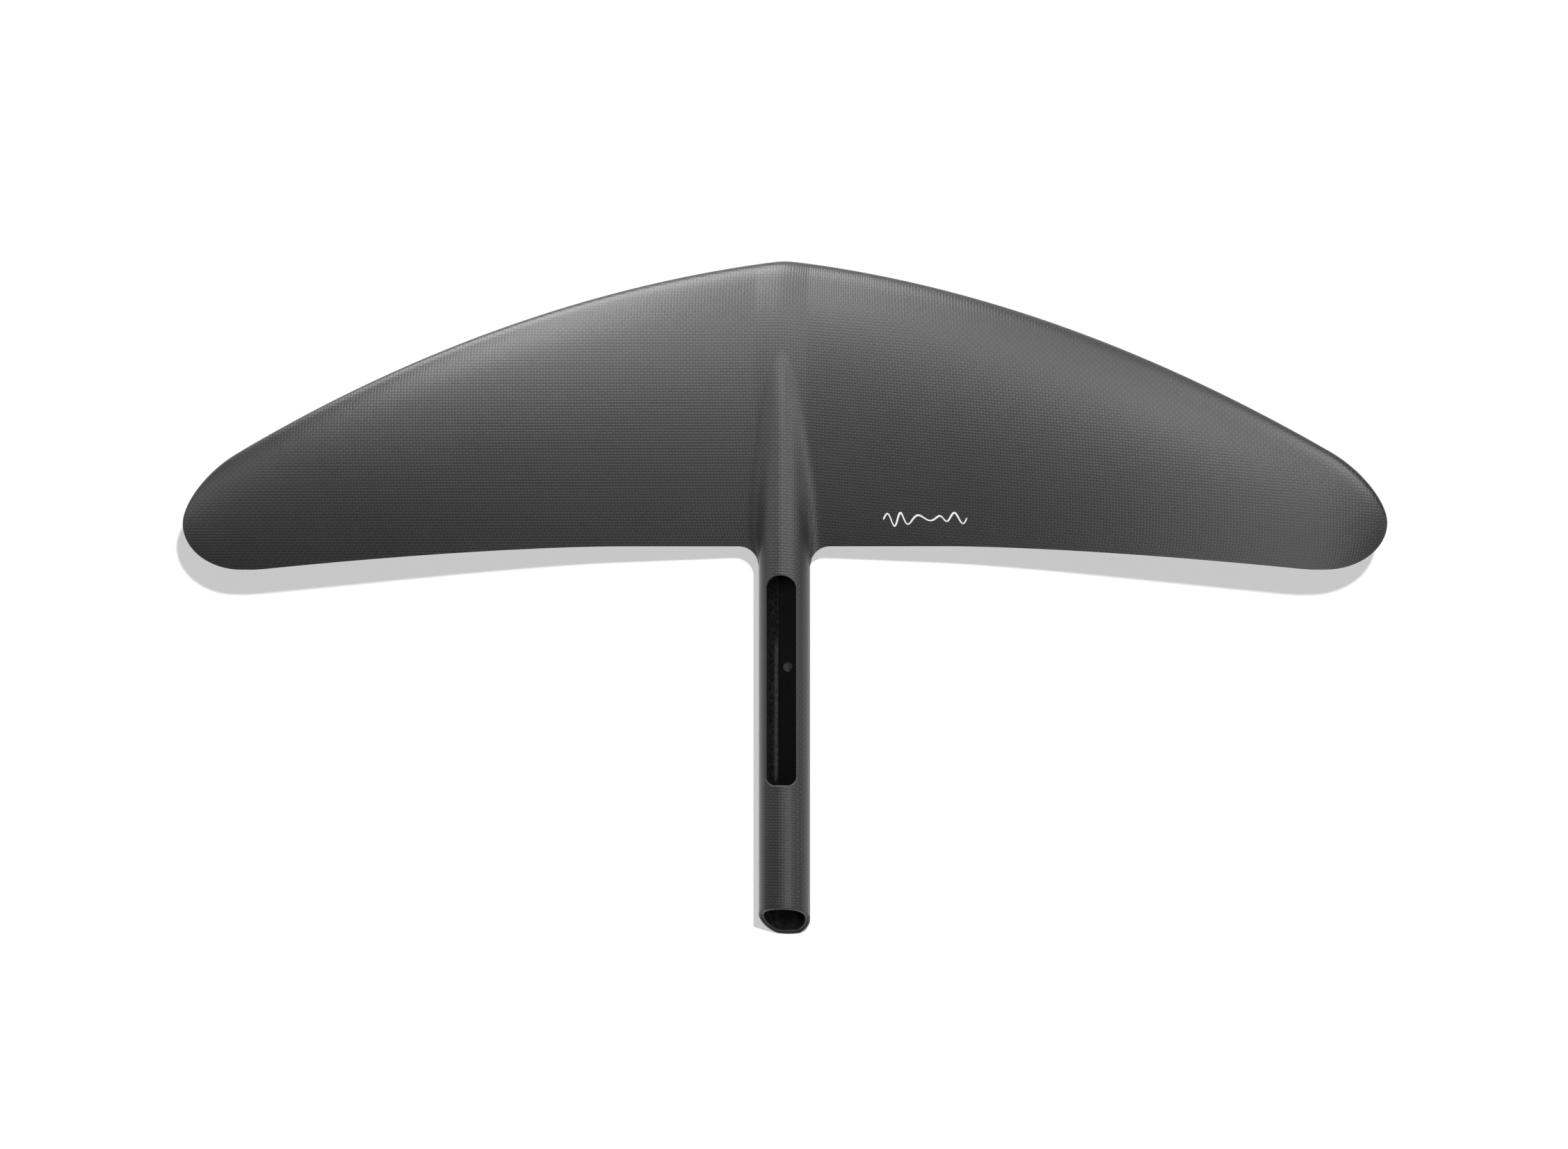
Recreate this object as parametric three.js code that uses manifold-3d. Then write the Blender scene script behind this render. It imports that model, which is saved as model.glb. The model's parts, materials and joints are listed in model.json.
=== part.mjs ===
// Front wing of a surf hydrofoil with a one-piece hollow fuselage.
// The frame has +X along the span to starboard, +Y forward and +Z up, in millimetres. Every
// formula counts y from the trailing edge on the centre line and z from the moulding's parting
// level; the group at the end moves the origin to the bottom centre of the whole part.
import * as THREE from 'three';
import { mergeVertices } from 'three/addons/utils/BufferGeometryUtils.js';
import Module from 'manifold-3d';

const wasm = await Module();
wasm.setup();

// Driving dimensions, mm
const SPAN = 880.6; // tip to tip
const CHORD = 206.3; // centre line, leading edge to trailing edge
const TIP_CHORD = 56.3; // chord that the tips would have without their rounding
const TIP_ROUND = 40.3; // length of the rounding, along the leading edge
const TIP_HEEL = 44.3; // and along the trailing edge
const TIP_CUT = 26.4; // the leading edge falls back over the rounding
const TIP_RUN = 56.3; // stretch between the spar's end and the tip
const NOSE_RADIUS = 6; // soft apex of the leading edge
const TRAIL_SAG = 16.9; // the trailing edge falls back outboard
const TRAIL_STRAIGHT = 122; // half of its straight middle
const DIHEDRAL = 0.1; // rise of the wing over its reach, at the root
const TIP_DROOP = 26;
const BODY_WIDTH = 37; // fuselage, across
const BODY_RISE = 18; // fuselage crown above the parting edge
const BODY_DROP = 18; // flat belly below the parting edge
const TAIL_TOP = -261.6; // upper rim of the open tail end
const TAIL_BOTTOM = -281.2; // lower lip of the open tail end
const TAIL_BOW = 3; // the middle of the tail end stands out past its sides
const SLOT_FRONT = -21.1; // mast slot in the fuselage top
const SLOT_REAR = -172.7;
const SLOT_WIDTH = 21.9;
const SLOT_NOSE = 9.6; // depth of the slot's rounded front end
const SLOT_CORNER = 6; // corner radius of the slot's rear end
const SKIN = 1.6; // laminate of both outer skins
const SLEEVE = 1.6; // laminate of the duct sleeve
const SLEEVE_STEP = 6; // the sleeve ends this far inside the tail end
const BOND = 0.3; // bond line between neighbours
const CORE_GAP = 0.45; // bond line over the curved cores
const ROOT_GAP = 0.9; // thicker bond line in the valleys beside the fuselage
const EDGE = 0.4; // each skin's thickness where the two skins meet
const CAMBER_TOP = 0.0776; // upper surface height over the chord
const CAMBER_BELLY = 0.0436; // lower surface depth over the chord
const CROWN_NOSE = 3.3; // fuselage crown rises from here, behind the leading edge
const CROWN_FULL = 85; // and reaches its full height here
const BELLY_NOSE = 6.3; // the same for the belly
const BELLY_FULL = 118;
const ROOT_FILLET = 15; // plan radius from trailing edge to fuselage
const MAST_SCREW_Y = -87;
const TAIL_SCREW_Y = -232;
const BUSH_RADIUS = 6;
const BULKHEAD = 3; // plate that closes the duct
const MARK_X = 104; // middle of the size mark
const MARK_Y = 20;
const MARK_LENGTH = 62;
const MARK_STROKE = 2.2;
const MARK_FILM = 0.12;
const SCREW_RADIUS = 3.2;
const SINK = 1.2; // countersink depth of the bushes

const half = SPAN / 2;
const tipStart = half - TIP_ROUND;
const sparReach = half - TIP_RUN;
const bodyHalf = BODY_WIDTH / 2;
const edgeZ = BOND / 2 + EDGE; // outer surface where a skin ends
const innerZ = BOND / 2; // inner surface where a skin ends
const drumDrop = BODY_DROP * 1.117; // depth of the ellipse that the flat belly cuts off
const clamp = (v) => Math.min(1, Math.max(0, v));
const mix = (a, b, t) => a + (b - a) * t;
const rad = THREE.MathUtils.degToRad;

// Plan form: a crescent with a soft apex at the nose and rounded tips
const tipSweep = (x, start) => {
  const u = clamp((x - start) / (half - start));
  return 1 - Math.sqrt(1 - u * u);
};
function leadY(x) {
  const u = (Math.hypot(x, NOSE_RADIUS) - NOSE_RADIUS) / half;
  const line = mix(CHORD, TIP_CHORD - TRAIL_SAG, 0.338 * u + 0.662 * u * u);
  return line - TIP_CUT * tipSweep(Math.abs(x), tipStart);
}
const tipY = leadY(half);
function trailY(x) {
  const a = Math.abs(x);
  const sag = -TRAIL_SAG * clamp((a - TRAIL_STRAIGHT) / (sparReach - TRAIL_STRAIGHT)) ** 1.55;
  return sag + (tipY + TRAIL_SAG) * tipSweep(a, half - TIP_HEEL);
}
// Plan edge behind the wing: the trailing edge, then a fillet into the fuselage side
function aftY(x) {
  const a = Math.abs(x);
  if (a <= bodyHalf) return -ROOT_FILLET;
  if (a >= bodyHalf + ROOT_FILLET) return trailY(a);
  const run = bodyHalf + ROOT_FILLET - a;
  return Math.sqrt(Math.max(0, ROOT_FILLET ** 2 - run * run)) - ROOT_FILLET;
}

// Parting level: rises outboard, then droops into the tips
function partZ(x) {
  const a = Math.max(0, Math.hypot(x, 24) - Math.hypot(bodyHalf, 24));
  return DIHEDRAL * a - TIP_DROOP * (a / half) ** 4;
}

// Foil section, one at its thickest point and zero at both edges
const section = (s) => 9.98 * (0.2969 * Math.sqrt(s) - 0.126 * s - 0.3516 * s * s
  + 0.2843 * s ** 3 - 0.1036 * s ** 4);
// Height of one wing surface over the parting level, side +1 upper or -1 lower
function wingRise(x, y, side) {
  const chord = Math.max(0, leadY(x) - trailY(x));
  const s = clamp((leadY(x) - y) / Math.max(chord, 1e-6));
  return edgeZ + chord * (side > 0 ? CAMBER_TOP : CAMBER_BELLY) * Math.max(0, section(s));
}

// Fuselage nose fairings: the crown sinks into the upper skin, the belly into the lower one
const fairing = (y, full, nose) => Math.sqrt(Math.max(0.01,
  1 - clamp((y - full) / (CHORD - nose - full)) ** 2));
const crownRise = (y) => BODY_RISE * fairing(y, CROWN_FULL, CROWN_NOSE);
const bellyRatio = (y) => fairing(y, BELLY_FULL, BELLY_NOSE);
// Distance of a point from the fuselage surface, negative inside
function bodyGap(x, y, rise, side) {
  const up = crownRise(y);
  const down = bellyRatio(y);
  const height = side > 0 ? up : drumDrop * down;
  const z = rise - edgeZ;
  const r = Math.hypot(x / bodyHalf, z / height);
  const drum = (r - 1) * Math.min(bodyHalf, height);
  return side > 0 ? drum : Math.max(drum, z - BODY_DROP * down);
}
// Outer surface: the wing and the fuselage with a fillet between them that grows aft
function outerRise(x, y, side) {
  const wing = wingRise(x, y, side);
  if (Math.abs(x) > bodyHalf + 40) return wing;
  const crown = side > 0 ? crownRise(y) : BODY_DROP * bellyRatio(y);
  const step = crown + edgeZ - wingRise(0, y, side);
  const fade = clamp((y + ROOT_FILLET) / ROOT_FILLET);
  const soft = 0.3 + fade * Math.min(16, Math.max(0, 0.95 * step - 0.3));
  let low = wing;
  let high = wing + 40;
  for (let i = 0; i < 26; i += 1) {
    const rise = (low + high) / 2;
    const a = rise - wing;
    const b = bodyGap(x, y, rise, side);
    const h = Math.max(0, soft - Math.abs(a - b)) / soft;
    if (Math.min(a, b) - h * h * soft / 4 < 0) low = rise; else high = rise;
  }
  return low;
}
// Inner surface of a skin: the laminate inside the outer surface, down to the parting level
function innerRise(x, y, side) {
  const d = 0.4;
  const outer = outerRise(x, y, side);
  const sx = (outerRise(x + d, y, side) - outerRise(x - d, y, side)) / (2 * d);
  const sy = (outerRise(x, y + d, side) - outerRise(x, y - d, side)) / (2 * d);
  const sides = Math.hypot(1, Math.min(40, Math.abs(sx)), Math.min(40, Math.abs(sy)));
  return Math.max(innerZ, outer - SKIN * sides);
}
// The open tail end is cut on a slant, so that the lower lip stands out, and its middle bows out
const tailY = (x, z) => mix(TAIL_BOTTOM, TAIL_TOP, (z + BODY_DROP + edgeZ)
  / (BODY_RISE + BODY_DROP + 2 * edgeZ)) + TAIL_BOW * (x / bodyHalf) ** 2;

// Half rings of the fuselage: angles from the crown or the belly out to the sides
const flatEdge = (inset) => Math.acos((BODY_DROP - inset) / (drumDrop - inset));
function ringAngle(k, count, side, inset) {
  const t = (2 * k) / count - 1;
  if (side > 0) return t * Math.PI / 2;
  const flat = flatEdge(inset);
  const share = 1 / 3;
  const a = Math.abs(t);
  const turn = a < share ? flat * (a / share) : mix(flat, Math.PI / 2, (a - share) / (1 - share));
  return Math.sign(t) * turn;
}
function ringPoint(angle, inset, side) {
  const height = side > 0 ? BODY_RISE - inset : drumDrop - inset;
  const rise = Math.abs(height * Math.cos(angle));
  const z = side > 0 ? rise : Math.min(rise, BODY_DROP - inset);
  return { x: (bodyHalf - inset) * Math.sin(angle), rise: z + edgeZ };
}

// Turns loose triangles into one closed geometry
function closedGeometry(points, faces) {
  const loose = new THREE.BufferGeometry();
  const xyz = faces.flatMap((i) => [points[i].x, points[i].y, points[i].z]);
  loose.setAttribute('position', new THREE.Float32BufferAttribute(xyz, 3));
  const geometry = mergeVertices(loose, 1e-3);
  const index = geometry.index.array;
  const kept = [];
  for (let i = 0; i < index.length; i += 3) {
    const [a, b, c] = [index[i], index[i + 1], index[i + 2]];
    if (a !== b && b !== c && c !== a) kept.push(a, b, c);
  }
  geometry.setIndex(kept);
  return geometry;
}
function toSolid(source) {
  const bare = source.clone();
  bare.deleteAttribute('normal');
  bare.deleteAttribute('uv');
  const geometry = mergeVertices(bare, 1e-3);
  return new wasm.Manifold(new wasm.Mesh({
    numProp: 3,
    vertProperties: new Float32Array(geometry.attributes.position.array),
    triVerts: new Uint32Array(geometry.index.array),
  }));
}
function toGeometry(solid) {
  const mesh = solid.getMesh();
  const geometry = new THREE.BufferGeometry();
  geometry.setAttribute('position', new THREE.BufferAttribute(mesh.vertProperties, 3));
  geometry.setIndex(new THREE.BufferAttribute(mesh.triVerts, 1));
  return geometry;
}
function cut(geometry, tools) {
  let solid = toSolid(geometry);
  for (const tool of tools) solid = solid.subtract(toSolid(tool));
  return toGeometry(solid);
}

// A wall between an outer and an inner sheet. Each node holds an outer, a foot and an inner
// point; the rim round the sheet's free edges runs outer, foot, inner.
function wall(nodes, cells, flip) {
  const n = nodes.length;
  const points = ['outer', 'foot', 'inner'].flatMap((key) => nodes.map((node) => node[key]));
  const faces = [];
  const edges = new Set(cells.flatMap((c) => c.map((a, i) => `${a} ${c[(i + 1) % 4]}`)));
  const add = (a, b, c) => (flip ? faces.push(a, c, b) : faces.push(a, b, c));
  for (const [a, b, c, d] of cells) {
    add(a, b, c);
    add(a, c, d);
    add(2 * n + a, 2 * n + c, 2 * n + b);
    add(2 * n + a, 2 * n + d, 2 * n + c);
  }
  for (const key of edges) {
    const [a, b] = key.split(' ').map(Number);
    if (edges.has(`${b} ${a}`)) continue;
    for (const level of [0, n]) {
      add(b + level, a + level, a + level + n);
      add(b + level, a + level + n, b + level + n);
    }
  }
  return closedGeometry(points, faces);
}

const RING_STEPS = 12;
const ROWS = 18; // chordwise, nose to trailing edge
const AFT_ROWS = 7; // along the fuselage behind the wing
const steps = (a, b, count) => Array.from({ length: count + 1 }, (_, i) => mix(a, b, i / count));
const filletXs = steps(bodyHalf, bodyHalf + ROOT_FILLET, 4).slice(1);
const panelXs = steps(0, 1, 9).slice(1)
  .map((t) => mix(bodyHalf + ROOT_FILLET, tipStart, t - 0.056 * Math.sin(2 * Math.PI * t)));
const tipXs = [14, 30, 46, 60, 72, 82, 90].map((v) => tipStart + TIP_ROUND * Math.sin(rad(v)));
const outboard = [...filletXs, ...panelXs, ...tipXs]; // section stations of one wing half

// One skin of the wing: its whole surface and the fairing that rises out of it towards the body
function wingSkin(side) {
  const columns = outboard.map((x) => ({ x: -x, ring: null })).reverse();
  for (let k = 0; k <= RING_STEPS; k += 1) {
    const x = ringPoint(ringAngle(k, RING_STEPS, side, 0), 0, side).x;
    columns.push({ x, ring: k });
  }
  columns.push(...outboard.map((x) => ({ x, ring: null })));
  const last = columns.length - 1;
  const nodes = [];
  const cells = [];
  const point = (x, y, rise) => new THREE.Vector3(x, y, partZ(x) + side * rise);
  columns.forEach(({ x, ring }, i) => {
    const inset = ring === null ? { x }
      : ringPoint(ringAngle(ring, RING_STEPS, side, SKIN), SKIN, side);
    const atSide = ring === 0 || ring === RING_STEPS;
    for (let j = 0; j <= ROWS; j += 1) {
      const y = mix(leadY(x), aftY(x), (j / ROWS) ** 1.5);
      const closed = i === 0 || i === last || j === 0;
      const outer = point(x, y, closed ? edgeZ : outerRise(x, y, side));
      let foot = point(x, y, innerZ);
      let inner = foot;
      if (j === ROWS && ring !== null) {
        inner = point(inset.x, y, atSide ? innerZ : inset.rise);
        if (!atSide) foot = outer;
      } else if (!closed && j < ROWS) {
        inner = point(inset.x, y, innerRise(inset.x, y, side));
      }
      nodes.push({ outer, foot, inner });
      if (i > 0 && j > 0) {
        const a = (i - 1) * (ROWS + 1) + j - 1;
        cells.push([a, a + 1, a + ROWS + 2, a + ROWS + 1]);
      }
    }
  });
  return wall(nodes, cells, side < 0);
}

// One half of the fuselage shell behind the wing, from the fairing to the slanted tail end
const BODY_FRONT = -ROOT_FILLET - BOND;
function bodyShell(side) {
  const nodes = [];
  const cells = [];
  for (let k = 0; k <= RING_STEPS; k += 1) {
    const out = ringPoint(ringAngle(k, RING_STEPS, side, 0), 0, side);
    const inn = ringPoint(ringAngle(k, RING_STEPS, side, SKIN), SKIN, side);
    const atSide = k === 0 || k === RING_STEPS;
    for (let j = 0; j <= AFT_ROWS; j += 1) {
      const at = (x, rise) => new THREE.Vector3(x,
        mix(BODY_FRONT, tailY(x, side * rise), j / AFT_ROWS), side * rise);
      const outer = at(out.x, out.rise);
      nodes.push({ outer, foot: atSide ? at(out.x, innerZ) : outer,
        inner: at(inn.x, atSide ? innerZ : inn.rise) });
      if (k > 0 && j > 0) {
        const a = (k - 1) * (AFT_ROWS + 1) + j - 1;
        cells.push([a, a + 1, a + AFT_ROWS + 2, a + AFT_ROWS + 1]);
      }
    }
  }
  return wall(nodes, cells, side < 0);
}

// Mast slot: round nose, square rear end with rounded corners, cut straight down
function slotTool(low, high) {
  const w = SLOT_WIDTH / 2;
  const shape = new THREE.Shape();
  shape.moveTo(w, SLOT_FRONT - SLOT_NOSE);
  shape.absellipse(0, SLOT_FRONT - SLOT_NOSE, w, SLOT_NOSE, 0, Math.PI, false, 0);
  shape.lineTo(-w, SLOT_REAR + SLOT_CORNER);
  shape.absarc(-w + SLOT_CORNER, SLOT_REAR + SLOT_CORNER, SLOT_CORNER, Math.PI, 1.5 * Math.PI, false);
  shape.lineTo(w - SLOT_CORNER, SLOT_REAR);
  shape.absarc(w - SLOT_CORNER, SLOT_REAR + SLOT_CORNER, SLOT_CORNER, 1.5 * Math.PI, 0, false);
  const geometry = new THREE.ExtrudeGeometry(shape,
    { depth: high - low, bevelEnabled: false, curveSegments: 10 });
  return geometry.translate(0, 0, low);
}
function drill(radius, y) {
  const geometry = new THREE.CylinderGeometry(radius, radius, 20, 28);
  return geometry.rotateX(Math.PI / 2).translate(0, y, -BODY_DROP);
}

// Sleeve that lines the duct, from the nose plug to the slanted tail end
const DUCT_FRONT = BODY_FRONT;
const sleeveOuter = SKIN + BOND;
const sleeveInner = sleeveOuter + SLEEVE;
function sleeveGeometry() {
  const steps = 2 * RING_STEPS;
  const rows = 6;
  const points = [];
  const loop = (inset, t) => {
    for (let k = 0; k < steps; k += 1) {
      const side = k < RING_STEPS ? 1 : -1;
      const m = k % RING_STEPS;
      const p = ringPoint(ringAngle(side > 0 ? m : RING_STEPS - m, RING_STEPS, side, inset), inset, side);
      const z = Math.abs(p.x) > bodyHalf - inset - 1e-6 ? 0 : side * p.rise;
      points.push(new THREE.Vector3(p.x, mix(DUCT_FRONT, tailY(p.x, z) + SLEEVE_STEP, t), z));
    }
  };
  for (let j = 0; j <= rows; j += 1) loop(sleeveOuter, j / rows);
  for (let j = rows; j >= 0; j -= 1) loop(sleeveInner, j / rows);
  const rings = 2 * (rows + 1);
  const faces = [];
  for (let j = 0; j < rings; j += 1) {
    for (let k = 0; k < steps; k += 1) {
      const n = (k + 1) % steps;
      const [a, b] = [j * steps + k, j * steps + n];
      const [c, d] = [((j + 1) % rings) * steps + n, ((j + 1) % rings) * steps + k];
      faces.push(a, d, c, a, c, b);
    }
  }
  return closedGeometry(points, faces);
}

// A filler between two height functions over a plan patch that spans x and chord fractions
const chordY = (x, s) => mix(leadY(x), trailY(x), s);
function filler(xs, rowsAt, top, bottom) {
  const nodes = [];
  const cells = [];
  const rows = rowsAt(xs[0]).length;
  xs.forEach((x, i) => {
    rowsAt(x).forEach((y, j) => {
      const outer = new THREE.Vector3(x, y, top(x, y));
      nodes.push({ outer, foot: outer, inner: new THREE.Vector3(x, y, bottom(x, y)) });
      if (i > 0 && j > 0) {
        const a = (i - 1) * rows + j - 1;
        cells.push([a, a + 1, a + 1 + rows, a + rows]);
      }
    });
  });
  return wall(nodes, cells, false);
}
const roof = (x, y) => partZ(x) + innerRise(x, y, 1) - CORE_GAP;
const ground = (x, y) => partZ(x) - innerRise(x, y, -1) + CORE_GAP;
const rootRoof = (x, y) => roof(x, y) + CORE_GAP - ROOT_GAP;
const rootGround = (x, y) => ground(x, y) - CORE_GAP + ROOT_GAP;
const byChord = (s0, s1, count) => (x) => steps(s0(x), s1(x), count).map((s) => chordY(x, s));
// Chord fraction, near either edge, at which the hollow is still the given height
function hollowEdge(x, from, to, height) {
  let inside = from;
  let outside = to;
  for (let i = 0; i < 22; i += 1) {
    const s = (inside + outside) / 2;
    const y = chordY(x, s);
    if (roof(x, y) - ground(x, y) > height) inside = s; else outside = s;
  }
  return inside;
}
const SPAR_FRONT = 0.28; // chord fractions of the main spar
const SPAR_REAR = 0.35;
const CAP = 1.5; // spar cap laminate
const NOSE_STRIP = 0.075; // chord fraction where the leading edge filler ends
const REAR_STRIP = 0.74; // chord fraction where the trailing edge filler starts
const CORE_START = filletXs[0]; // outboard of the root ribs
const FILLET_END = bodyHalf + ROOT_FILLET + 3;
const TIP_SOLID = 13.3; // the tip is solid laminate from here
// Section stations between two places, so that fillers and skins bend at the same ones
const stations = (from, to) => [from, ...outboard.filter((x) => x > from + 3 && x < to - 3), to];
const plus = (f, d) => (x) => f + d / Math.max(30, leadY(x) - trailY(x));
const nearLead = (x) => hollowEdge(x, 0.2, 0.005, 1.2);
const nearTrail = (x) => hollowEdge(x, 0.5, 0.999, 0.9);
const tipLead = (x) => hollowEdge(x, 0.3, 0.005, 2.2);

const matte = (color, roughness, metalness = 0) => ({ color, roughness, metalness });
const looks = {
  carbon: matte(0x34343a, 0.48),
  duct: matte(0x17181a, 0.28),
  foam: matte(0xd8d2b8, 0.9),
  resin: matte(0x6e6a60, 0.6),
  spar: matte(0x26272b, 0.5),
  paint: matte(0xe8e8e6, 0.5),
  steel: matte(0xb4b6ba, 0.3, 1),
};
const wing = new THREE.Group();
wing.position.set(0, -(leadY(0) + TAIL_BOTTOM) / 2, BODY_DROP + edgeZ);
function addPart(name, geometry, look) {
  const shape = geometry.index ? geometry.toNonIndexed() : geometry;
  shape.computeVertexNormals();
  const mesh = new THREE.Mesh(shape, new THREE.MeshStandardMaterial(look));
  mesh.name = name;
  wing.add(mesh);
}

const screws = [MAST_SCREW_Y, TAIL_SCREW_Y];
const bushHoles = screws.map((y) => drill(BUSH_RADIUS + BOND, y));
const screwHoles = screws.map((y) => drill(SCREW_RADIUS + BOND, y));
addPart('wing_upper_skin', wingSkin(1), looks.carbon);
addPart('wing_lower_skin', wingSkin(-1), looks.carbon);
addPart('fuselage_top', cut(bodyShell(1), [slotTool(4, 30)]), looks.carbon);
addPart('fuselage_bottom', cut(bodyShell(-1), bushHoles), looks.carbon);
addPart('duct_sleeve', cut(sleeveGeometry(), [slotTool(4, 30), ...screwHoles]), looks.duct);

// Bulkhead that closes the duct ahead of the slot
function bulkhead() {
  const inset = sleeveInner + BOND;
  const outline = [];
  for (const side of [1, -1]) {
    for (let k = 0; k < RING_STEPS; k += 1) {
      const m = side > 0 ? RING_STEPS - k : k;
      const p = ringPoint(ringAngle(m, RING_STEPS, side, inset), inset, side);
      const atSide = Math.abs(p.x) > bodyHalf - inset - 1e-6;
      outline.push(new THREE.Vector2(p.x, atSide ? 0 : side * p.rise));
    }
  }
  const geometry = new THREE.ExtrudeGeometry(new THREE.Shape(outline),
    { depth: BULKHEAD, bevelEnabled: false });
  return geometry.rotateX(Math.PI / 2).translate(0, DUCT_FRONT - BOND, 0);
}
addPart('duct_bulkhead', bulkhead(), looks.duct);

// Countersunk bushes, flush with the belly, under the sleeve
function bush(y) {
  const low = -BODY_DROP - edgeZ;
  const high = low + SKIN;
  const profile = [[SCREW_RADIUS, high], [SCREW_RADIUS, low + SINK], [SCREW_RADIUS + SINK, low],
    [BUSH_RADIUS, low], [BUSH_RADIUS, high], [SCREW_RADIUS, high]];
  const geometry = new THREE.LatheGeometry(profile.map(([r, z]) => new THREE.Vector2(r, z)), 28);
  return geometry.rotateX(Math.PI / 2).translate(0, y, 0);
}
addPart('mast_screw_bush', bush(MAST_SCREW_Y), looks.steel);
addPart('tail_screw_bush', bush(TAIL_SCREW_Y), looks.steel);

// Size mark: a painted wave stroke on the starboard half, near the trailing edge
const markY = (x) => MARK_Y + 5 * Math.sin(((x - MARK_X) / MARK_LENGTH) * 6 * Math.PI);
const markXs = steps(MARK_X - MARK_LENGTH / 2, MARK_X + MARK_LENGTH / 2, 36);
addPart('size_mark', filler(markXs, (x) => [markY(x) + MARK_STROKE / 2, markY(x) - MARK_STROKE / 2],
  (x, y) => partZ(x) + outerRise(x, y, 1) + 2 * MARK_FILM,
  (x, y) => partZ(x) + outerRise(x, y, 1) + MARK_FILM), looks.paint);

// Main spar: two caps under the skins and a web between them, through the centre
const sparRows = byChord(() => SPAR_FRONT, () => SPAR_REAR, 2);
const sparSide = [...steps(0, bodyHalf, 3).slice(1), ...stations(filletXs[0], sparReach)];
const sparXs = [0, ...sparSide.flatMap((x) => [-x, x])].sort((a, b) => a - b);
addPart('spar_cap_upper', filler(sparXs, sparRows, roof, (x, y) => roof(x, y) - CAP), looks.spar);
addPart('spar_cap_lower', filler(sparXs, sparRows, (x, y) => ground(x, y) + CAP, ground), looks.spar);
addPart('spar_web', filler(sparXs, sparRows, (x, y) => roof(x, y) - CAP - BOND,
  (x, y) => ground(x, y) + CAP + BOND), looks.spar);

// Blocks inside the fuselage ahead of the duct, on either side of the spar
const PLUG_SIDE = 3.6; // the blocks stay clear of the curved fuselage sides
const SPAR_CLEAR = 3.4; // the plug also stays clear of the spar ahead of it
const plugHalf = bodyHalf - SKIN - PLUG_SIDE;
const plugXs = steps(-plugHalf, plugHalf, 8);
const plugFront = chordY(0, SPAR_REAR) - SPAR_CLEAR;
addPart('nose_plug', filler(plugXs, () => steps(plugFront, DUCT_FRONT + BOND, 6),
  rootRoof, rootGround), looks.resin);
addPart('nose_block', filler(plugXs, byChord(() => 0.06, plus(SPAR_FRONT, -BOND), 4),
  rootRoof, rootGround), looks.foam);

for (const side of [-1, 1]) {
  const name = side < 0 ? 'left' : 'right';
  const span = (list) => list.map((x) => side * x).sort((a, b) => a - b);
  const ribXs = span(steps(plugHalf + BOND, CORE_START - BOND, 3));
  addPart(`root_rib_${name}`, filler(ribXs, byChord(plus(SPAR_REAR, BOND + 3), () => 0.86, 8),
    rootRoof, rootGround), looks.spar);
  const coreXs = span(stations(CORE_START, sparReach));
  addPart(`front_core_${name}`, filler(coreXs, byChord(() => NOSE_STRIP, plus(SPAR_FRONT, -BOND), 3),
    roof, ground), looks.foam);
  addPart(`rear_core_${name}`, filler(coreXs, byChord(plus(SPAR_REAR, BOND + 0.5), () => REAR_STRIP, 4),
    roof, ground), looks.foam);
  addPart(`nose_strip_${name}`, filler(coreXs, byChord(nearLead, plus(NOSE_STRIP, -BOND), 2),
    roof, ground), looks.resin);
  const stripXs = span(stations(FILLET_END, sparReach));
  addPart(`rear_strip_${name}`, filler(stripXs, byChord(plus(REAR_STRIP, BOND), nearTrail, 2),
    roof, ground), looks.resin);
  const blockXs = span(stations(sparReach + 1, half - TIP_SOLID));
  addPart(`tip_block_${name}`, filler(blockXs, byChord(tipLead, nearTrail, 5), roof, ground), looks.resin);
}

export default wing;
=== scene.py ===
"""Looks of a woven-carbon hydrofoil front wing with a hollow fuselage."""
import json
import math

import bmesh
import bpy
import numpy as np
from mathutils import Matrix, Vector

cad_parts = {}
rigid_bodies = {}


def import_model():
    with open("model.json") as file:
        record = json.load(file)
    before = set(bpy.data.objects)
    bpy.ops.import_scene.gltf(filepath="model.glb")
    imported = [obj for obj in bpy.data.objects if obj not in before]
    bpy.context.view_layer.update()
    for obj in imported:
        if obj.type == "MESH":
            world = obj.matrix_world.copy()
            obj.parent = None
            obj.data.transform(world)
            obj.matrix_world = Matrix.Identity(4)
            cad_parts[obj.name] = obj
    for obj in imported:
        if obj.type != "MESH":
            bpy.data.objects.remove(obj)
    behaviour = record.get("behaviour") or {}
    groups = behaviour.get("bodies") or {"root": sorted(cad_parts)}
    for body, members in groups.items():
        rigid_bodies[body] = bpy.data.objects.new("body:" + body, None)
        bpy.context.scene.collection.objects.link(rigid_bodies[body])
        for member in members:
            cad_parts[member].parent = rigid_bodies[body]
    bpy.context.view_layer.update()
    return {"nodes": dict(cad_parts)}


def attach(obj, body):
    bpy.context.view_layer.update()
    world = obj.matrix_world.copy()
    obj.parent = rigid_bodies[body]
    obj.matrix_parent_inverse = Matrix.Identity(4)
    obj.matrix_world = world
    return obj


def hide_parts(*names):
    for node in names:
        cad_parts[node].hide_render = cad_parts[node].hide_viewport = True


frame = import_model()
scene = bpy.context.scene
scene.view_settings.view_transform = "Standard"

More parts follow.
